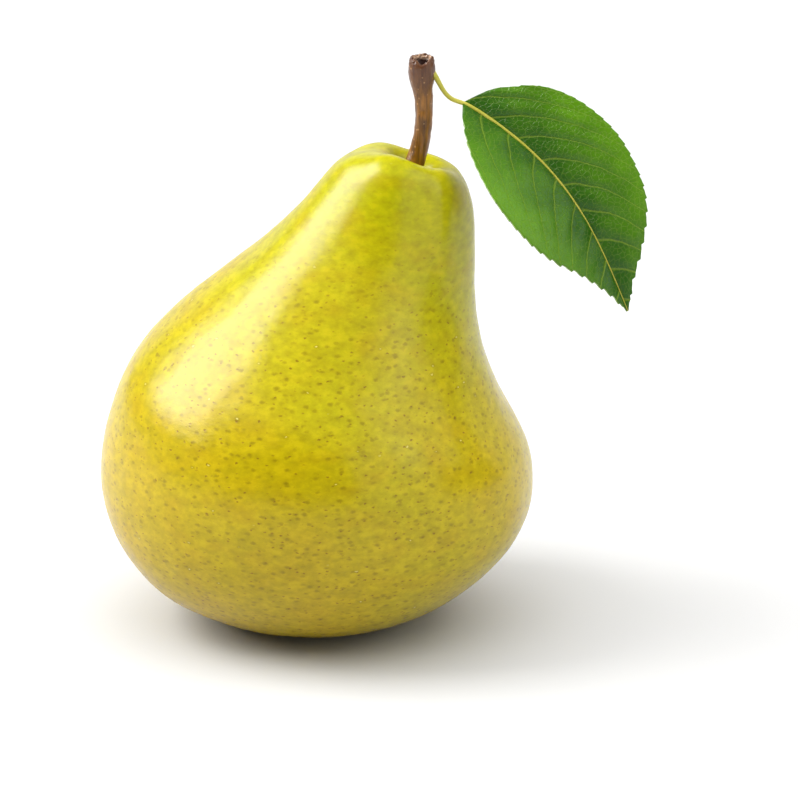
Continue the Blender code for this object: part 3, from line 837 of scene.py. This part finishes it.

# %% [markdown]
# ### Leaf green
# The upper face of the leaf is waxy, which gives the eye a cool sheen where it faces the light. The
# lower face is paler and matte. On both, the green is painted darker in the fold along the midrib and
# lighter towards the margins, for light shining through the thin blade. Both show the pale side
# veins, which bend towards the tip, with painted shade in the grooves they lie in, and between them
# a fine net of veinlets. All of it is worked out from the flat coordinates, in millimetres. The real
# net has meshes of about 0.5 mm; here they are 0.9 mm, so that they show.

# %% A leaf face
def leaf_face(name, deep, fresh, vein, gloss):
    """One face of the leaf: its deep and fresh green, the fresh one also standing for painted light through the
    margin, its vein colour and its roughness.
    """
    made, tree, shader = new_material(name)
    flat = add_node(tree, "ShaderNodeUVMap", {"uv_map": "flat_blade"}, {}).outputs[0]
    in_mm = add_node(
        tree, "ShaderNodeVectorMath", {"operation": "MULTIPLY_ADD"},
        {0: flat, 1: (UV_SPAN / MM, UV_SPAN / MM, 0), 2: (0, -0.5 * UV_SPAN / MM, 0)},
    ).outputs[0]
    parts = add_node(tree, "ShaderNodeSeparateXYZ", {}, {0: in_mm})
    across = add_node(tree, "ShaderNodeMath", {"operation": "ABSOLUTE"}, {0: parts.outputs["Y"]}).outputs[0]
    near = add_node(
        tree, "ShaderNodeMath", {"operation": "LESS_THAN"}, {0: parts.outputs["Y"], 1: 0.0}
    ).outputs[0]

    # Where along the midrib the vein through this place starts
    steer = add_node(
        tree, "ShaderNodeMath", {"operation": "MULTIPLY_ADD"}, {0: across, 1: -VEIN_CURVE, 2: -VEIN_SLANT}
    ).outputs[0]
    start = add_node(
        tree, "ShaderNodeMath", {"operation": "MULTIPLY_ADD"}, {0: steer, 1: across, 2: parts.outputs["X"]}
    ).outputs[0]
    start = add_node(
        tree, "ShaderNodeMath", {"operation": "MULTIPLY_ADD"}, {0: near, 1: VEIN_OFFSET, 2: start}
    ).outputs[0]
    wander = add_node(
        tree, "ShaderNodeTexNoise", {}, {"Vector": in_mm, "Scale": 0.3, "Detail": 1.0}
    ).outputs["Fac"]
    start = add_node(
        tree, "ShaderNodeMath", {"operation": "MULTIPLY_ADD"}, {0: wander, 1: 0.9, 2: start}
    ).outputs[0]
    gaps = add_node(tree, "ShaderNodeMath", {"operation": "DIVIDE"}, {0: start, 1: VEIN_GAP}).outputs[0]
    from_vein = add_node(tree, "ShaderNodeMath", {"operation": "PINGPONG"}, {0: gaps, 1: 0.5}).outputs[0]
    width = add_node(
        tree, "ShaderNodeMapRange", {}, {"Value": across, "From Max": 13.0, "To Min": 0.045, "To Max": 0.014}
    ).outputs[0]
    widths_off = add_node(tree, "ShaderNodeMath", {"operation": "DIVIDE"}, {0: from_vein, 1: width}).outputs[0]
    veins = add_node(
        tree, "ShaderNodeMapRange", {"interpolation_type": "SMOOTHSTEP"},
        {"Value": widths_off, "From Min": 0.3, "From Max": 1.5, "To Min": 1.0, "To Max": 0.0},
    ).outputs[0]
    # Painted shade: a band along each side vein, where it lies in a groove, used below to darken the green
    grooves = add_node(
        tree, "ShaderNodeMapRange", {"interpolation_type": "SMOOTHSTEP"},
        {"Value": from_vein, "From Min": 0.0, "From Max": 0.22, "To Min": 1.0, "To Max": 0.0},
    ).outputs[0]

    # The net of veinlets
    bent = add_node(tree, "ShaderNodeTexNoise", {}, {"Vector": in_mm, "Scale": 1.2, "Detail": 1.0})
    bent = add_node(
        tree, "ShaderNodeVectorMath", {"operation": "MULTIPLY_ADD"},
        {0: bent.outputs["Color"], 1: (0.8,) * 3, 2: in_mm},
    ).outputs[0]
    net = add_node(
        tree, "ShaderNodeTexVoronoi", {"feature": "DISTANCE_TO_EDGE", "voronoi_dimensions": "2D"},
        {"Vector": bent, "Scale": 1 / 0.9},
    ).outputs["Distance"]
    net = add_node(
        tree, "ShaderNodeMapRange", {"interpolation_type": "SMOOTHSTEP"},
        {"Value": net, "From Min": 0.0, "From Max": 0.12, "To Min": 1.0, "To Max": 0.0},
    ).outputs[0]

    # The ground green: soft patches of its own tone, painted deeper in the fold along the midrib and fresher
    # outwards, for light shining through the thin margin
    patches = add_node(
        tree, "ShaderNodeTexNoise", {}, {"Vector": in_mm, "Scale": 0.16, "Detail": 3.0}
    ).outputs["Fac"]
    # Painted light: the green turns fresher towards the margins and stays deep in the fold along the midrib
    outwards = add_node(
        tree, "ShaderNodeMapRange", {},
        {"Value": across, "From Min": 1.0, "From Max": 13.0, "To Min": -0.5, "To Max": 0.4},
    ).outputs[0]
    tone_and_painted_light_share = add_node(
        tree, "ShaderNodeMath", {"operation": "ADD", "use_clamp": True}, {0: patches, 1: outwards}
    ).outputs[0]
    green = add_node(
        tree, "ShaderNodeMix", {"data_type": "RGBA"},
        {MIX: tone_and_painted_light_share, FIRST: colour(deep), SECOND: colour(fresh)},
    ).outputs[MIXED]
    # Painted shade in the vein grooves: the green is darkened towards the deep green along the side veins, most
    # near the midrib
    near_rib = add_node(
        tree, "ShaderNodeMapRange", {}, {"Value": across, "From Max": 11.0, "To Min": 0.4, "To Max": 0.0}
    ).outputs[0]
    painted_groove_shade_share = add_node(
        tree, "ShaderNodeMath", {"operation": "MULTIPLY"}, {0: grooves, 1: near_rib}
    ).outputs[0]
    green = add_node(
        tree, "ShaderNodeMix", {"data_type": "RGBA"}, {MIX: painted_groove_shade_share, FIRST: green, SECOND: colour(deep)}
    ).outputs[MIXED]
    for lines, strength in ((net, 0.13), (veins, 0.32)):
        line_share = add_node(
            tree, "ShaderNodeMath", {"operation": "MULTIPLY"}, {0: lines, 1: strength}
        ).outputs[0]
        green = add_node(
            tree, "ShaderNodeMix", {"data_type": "RGBA"}, {MIX: line_share, FIRST: green, SECOND: colour(vein)}
        ).outputs[MIXED]

    # Both kinds of vein lie a little below the green
    height = patches
    for lines, rise in ((net, -0.35), (veins, -0.6)):
        height = add_node(
            tree, "ShaderNodeMath", {"operation": "MULTIPLY_ADD"}, {0: lines, 1: rise, 2: height}
        ).outputs[0]
    relief = add_node(tree, "ShaderNodeBump", {}, {"Strength": 0.45, "Distance": 0.3 * MM, "Height": height})
    shader.inputs["Roughness"].default_value = gloss
    shader.inputs["Specular IOR Level"].default_value = 0.35
    tree.links.new(green, shader.inputs["Base Color"])
    tree.links.new(relief.outputs[0], shader.inputs["Normal"])
    return made


# %% Dress the blade's two faces, then finish it
# The materials go on before Solidify is applied, because it gives the lower face the second one
blade.data.materials.append(leaf_face("leaf_upper_face_waxy", "245200", "568800", "92AA2E", 0.36))
blade.data.materials.append(leaf_face("leaf_lower_face_matte", "7E9C5A", "9DB872", "C4D19A", 0.65))
finish_modifiers(blade)
print("blade:", len(blade.data.polygons), "faces,", len(blade.data.materials), "materials")

# %% Stalk material
# The stalk's skin is young and smooth, yellow-green, with a soft shine
twig_green, tree, shader = new_material("leaf_stalk_fresh")
place = add_node(tree, "ShaderNodeTexCoord", {}, {}).outputs["Object"]
flush = add_node(
    tree, "ShaderNodeTexNoise", {}, {"Vector": place, "Scale": per_metre(3), "Detail": 3.0}
).outputs["Fac"]
yellow = add_node(
    tree, "ShaderNodeMix", {"data_type": "RGBA"}, {MIX: flush, FIRST: colour("98961A"), SECOND: colour("C6BC50")}
).outputs[MIXED]
tree.links.new(yellow, shader.inputs["Base Color"])
shader.inputs["Roughness"].default_value = 0.45
stalk_piece.data.materials.append(twig_green)
deselect_all()
stalk_piece.select_set(True)
blade.select_set(True)
bpy.context.view_layer.objects.active = blade
bpy.ops.object.join()
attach(blade, "root")
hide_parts("leaf")
print("leaf:", len(blade.data.polygons), "faces")

# %% [markdown]
# ## The dried flower underneath
# A pear hangs upside down from its flower, so the flower's five sepals stay in the basin at its
# base, dried and curled, round a tuft of dead stamens. One sepal is cut from a grid, curled and
# thickened, then copied round the basin, each copy a little larger or smaller.

# %% Cut one sepal
basin = Vector((base_x, 0, 0.074 * core_length))  # the middle of the basin's floor
SEPAL_ROWS = 10
SEPAL_LENGTH = 5.4 * MM
SEPAL_WIDTHS = (0.95, 1.1, 1.15, 1.1, 1.0, 0.88, 0.74, 0.58, 0.42, 0.26, 0.08)  # mm, half widths
deselect_all()
bpy.ops.mesh.primitive_grid_add(x_subdivisions=SEPAL_ROWS, y_subdivisions=4, size=2)
sepal = bpy.context.object
sepal.name = "sepal_1"
sepal.scale = (SEPAL_LENGTH / 2, 1, 1)
sepal.location = (SEPAL_LENGTH / 2, 0, 0)
bpy.ops.object.transform_apply(location=True, scale=True)
for row, width in enumerate(SEPAL_WIDTHS):
    at = row / SEPAL_ROWS * SEPAL_LENGTH
    edit_points(sepal, lambda co: abs(co.x - at) < 0.01 * MM)
    bpy.ops.transform.resize(value=(1, width * MM, 1), center_override=(at, 0, 0))
edit_points(sepal, lambda co: abs(co.y) > 0.2 * MM and abs(co.x - 0.4 * SEPAL_LENGTH) < 0.35 * SEPAL_LENGTH)
bpy.ops.transform.translate(value=(0, 0, 0.25 * MM))  # a shallow gutter along its middle
print("sepal:", round(SEPAL_LENGTH / MM, 1), "mm long,", 2 * max(SEPAL_WIDTHS), "mm wide")

# %% Curl and thicken it
SEPAL_START = math.radians(-55)  # it leaves the floor steeply, outwards and down
SEPAL_CURL = math.radians(125)  # and turns back up by this much to its tip
ASIDE = 50 * MM  # rows already curled wait this far off, so that the next row can be picked by its place
reach, drop = 0.0, 0.0
for row in range(1, SEPAL_ROWS + 1):
    at = row / SEPAL_ROWS * SEPAL_LENGTH
    slope = SEPAL_START + SEPAL_CURL * ((row - 0.5) / SEPAL_ROWS) ** 1.5
    reach += math.cos(slope) * SEPAL_LENGTH / SEPAL_ROWS
    drop += math.sin(slope) * SEPAL_LENGTH / SEPAL_ROWS
    edit_points(sepal, lambda co: abs(co.x - at) < 0.01 * MM and co.z < MM)
    bpy.ops.transform.translate(value=(reach - at + ASIDE, 0, drop))
edit_points(sepal, lambda co: co.x > ASIDE / 2)
bpy.ops.transform.translate(value=(-ASIDE, 0, 0))
bpy.ops.object.mode_set(mode="OBJECT")
sheet = sepal.modifiers.new("thickness", "SOLIDIFY")
sheet.thickness = 0.3 * MM
make_uneven(sepal, "crumple", 1.2, 0.5)
smooth = sepal.modifiers.new("round", "SUBSURF")
smooth.levels = smooth.render_levels = 2
finish_modifiers(sepal)
print("sepal:", len(sepal.data.polygons), "faces")

# %% [markdown]
# ### Dried brown tissue
# Dead sepals are papery, dark brown and matte, with paler worn patches, and the stamens are the
# same tissue bleached to tan. Neither gives the eye a highlight, unlike the waxy skin round them.

# %% Dried flower materials
def dried(name, dark, pale, grain_mm):
    """Dry, matte plant tissue in two browns."""
    made, tree, shader = new_material(name)
    place = add_node(tree, "ShaderNodeTexCoord", {}, {}).outputs["Object"]
    grain = add_node(
        tree, "ShaderNodeTexNoise", {},
        {"Vector": place, "Scale": per_metre(grain_mm), "Detail": 5.0, "Roughness": 0.7},
    ).outputs["Fac"]
    share = add_node(
        tree, "ShaderNodeMapRange", {}, {"Value": grain, "From Min": 0.35, "From Max": 0.68}
    ).outputs[0]
    brown = add_node(
        tree, "ShaderNodeMix", {"data_type": "RGBA"}, {MIX: share, FIRST: colour(dark), SECOND: colour(pale)}
    ).outputs[MIXED]
    relief = add_node(tree, "ShaderNodeBump", {}, {"Strength": 0.6, "Distance": 0.15 * MM, "Height": grain})
    shader.inputs["Roughness"].default_value = 0.85
    tree.links.new(brown, shader.inputs["Base Color"])
    tree.links.new(relief.outputs[0], shader.inputs["Normal"])
    return made


papery_sepal = dried("sepal_dried_papery", "2E1A0C", "7A5330", 0.8)
dead_thread = dried("stamen_dried_thread", "8A6534", "D0AE78", 0.5)
print("made", papery_sepal.name, "and", dead_thread.name)

# %% Copy the sepal round the basin
# Angle, size, and how far it nods down, in degrees
SEPAL_SET = ((14, 1.0, 0), (86, 0.92, 8), (161, 1.05, -6), (229, 0.88, 4), (302, 0.97, -9))
sepal.data.materials.append(papery_sepal)
for number, (degrees, size, nod) in enumerate(SEPAL_SET, start=1):
    deselect_all()
    copy = sepal.copy()
    copy.data = sepal.data.copy()
    bpy.context.scene.collection.objects.link(copy)
    copy.name = f"dried_sepal_{number}"
    turned = Matrix.Rotation(math.radians(degrees), 4, "Z")
    outwards = Matrix.Translation((1.2 * MM, 0, 0)) @ Matrix.Rotation(math.radians(nod), 4, "Y")
    lowered = Matrix.Translation(basin - Vector((0, 0, 0.6 * MM)))
    copy.matrix_world = lowered @ turned @ outwards @ Matrix.Scale(size, 4)
    copy.select_set(True)
    bpy.context.view_layer.objects.active = copy
    bpy.ops.object.transform_apply(location=True, rotation=True, scale=True)
    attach(copy, "root")
    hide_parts(f"sepal_{number}")
bpy.data.objects.remove(sepal)
print(len(SEPAL_SET), "sepals placed")

# %% Draw one dead stamen and copy it into a tuft
# Place and radius in millimetres: it hangs from the basin's floor to a small knob
THREAD = [((0, 0, 0.6), 0.13), ((0.1, 0, -1.0), 0.11), ((0.5, 0.2, -2.2), 0.1), ((0.6, 0.6, -3.2), 0.1)]
THREAD += [((0.2, 0.8, -3.7), 0.17), ((0.0, 0.7, -3.75), 0.2), ((-0.1, 0.6, -3.8), 0.1)]
thread = strand("stamen", [(Vector(spot) * MM, radius * MM) for spot, radius in THREAD], 2)
thread.data.materials.append(dead_thread)
threads = []
golden = math.radians(137.5)  # the turn between neighbours in a flower
for number in range(14):
    copy = thread.copy()
    copy.data = thread.data.copy()
    bpy.context.scene.collection.objects.link(copy)
    off_axis = 0.28 * math.sqrt(number) * MM
    turned = Matrix.Rotation(number * golden, 4, "Z")
    tall = Matrix.Diagonal((1, 1, 0.75 + 0.25 * math.sin(number * 2.4), 1))
    copy.matrix_world = Matrix.Translation(basin) @ turned @ Matrix.Translation((off_axis, 0, 0)) @ tall
    threads.append(copy)
bpy.data.objects.remove(thread)
deselect_all()
for copy in threads:
    copy.select_set(True)
bpy.context.view_layer.objects.active = threads[0]
bpy.ops.object.transform_apply(location=True, rotation=True, scale=True)
bpy.ops.object.join()
tuft = bpy.context.object
tuft.name = "dried_stamens"
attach(tuft, "root")
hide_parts("stamen_tuft")
print("stamens:", len(tuft.data.polygons), "faces")

# %% [markdown]
# ## The floor, the light and the camera
# The pear stands on a plain pale table in a white room. The main light is a large soft box high on
# the left. A reflector at the front right, a soft box over the right side and a white wall behind
# fill the shadows and show in the rims. The broad ceiling lights everything but isn't mirrored,
# because its mirror image would veil the colours. The left sheen is the other way round: it adds to
# reflections and leaves matte surfaces alone.

# %% Floor
# Matte paint, which gives the eye soft shadows and no highlight
deselect_all()
bpy.ops.mesh.primitive_plane_add(size=8, location=(0, 0, 0))
floor = bpy.context.object
floor.name = "table"
paper, tree, shader = new_material("plain_white_table")
shader.inputs["Base Color"].default_value = colour("C8C8C8")
shader.inputs["Roughness"].default_value = 0.9
shader.inputs["Specular IOR Level"].default_value = 0.1
floor.data.materials.append(paper)
print("table:", floor.dimensions.x, "m wide")

# %% Light
middle = Vector((0, 0, 0.45 * (cad_high - cad_low).z))


def soft_box(name, direction, distance, size_x, size_y, power):
    """An area light that faces the pear's middle; metres and watts."""
    light = bpy.data.lights.new(name, "AREA")
    light.shape = "RECTANGLE"
    light.size, light.size_y = size_x, size_y
    light.energy = power
    lamp = bpy.data.objects.new(name, light)
    bpy.context.scene.collection.objects.link(lamp)
    lamp.location = middle + Vector(direction).normalized() * distance
    lamp.rotation_euler = (lamp.location - middle).to_track_quat("Z", "Y").to_euler()


soft_box("left_soft_box", (-0.785, 0.04, 0.618), 0.9, 0.6, 0.66, 10.5)
soft_box("left_sheen", (-0.785, 0.04, 0.618), 0.95, 0.95, 0.8, 6.5)
soft_box("right_reflector", (0.74, -0.64, 0.24), 1.1, 0.9, 1.0, 3)
soft_box("right_overhead", (0.76, -0.17, 0.63), 1.0, 0.7, 0.7, 2)
soft_box("back_wall", (0.25, 1.0, 0.32), 1.5, 3.6, 1.1, 7)
soft_box("ceiling_light", (0, 0, 1), 1.5, 3.2, 3.2, 66)
bpy.data.objects["ceiling_light"].visible_glossy = False
bpy.data.objects["left_sheen"].visible_diffuse = False
world = bpy.data.worlds.new("white_room")
world.use_nodes = True
world.node_tree.nodes["Background"].inputs["Color"].default_value = colour("FFFFFF")
world.node_tree.nodes["Background"].inputs["Strength"].default_value = 0.14
bpy.context.scene.world = world
bpy.context.scene.view_settings.view_transform = "Standard"
print(len(bpy.data.lights), "lights")

# %% Camera
CAMERA_DISTANCE = 0.688
CAMERA_TILT = math.radians(17)
lens = bpy.data.cameras.new("camera")
lens.sensor_width = 36
lens.lens = 170.1
camera = bpy.data.objects.new("camera", lens)
bpy.context.scene.collection.objects.link(camera)
look_at = Vector((base_x + 15.8 * MM, 0, 40.7 * MM))
backwards = Vector((0, -math.cos(CAMERA_TILT), math.sin(CAMERA_TILT)))
camera.location = look_at + backwards * CAMERA_DISTANCE
camera.rotation_euler = (math.pi / 2 - CAMERA_TILT, 0, 0)
bpy.context.scene.camera = camera
print("camera at", [round(value, 3) for value in camera.location], "m")
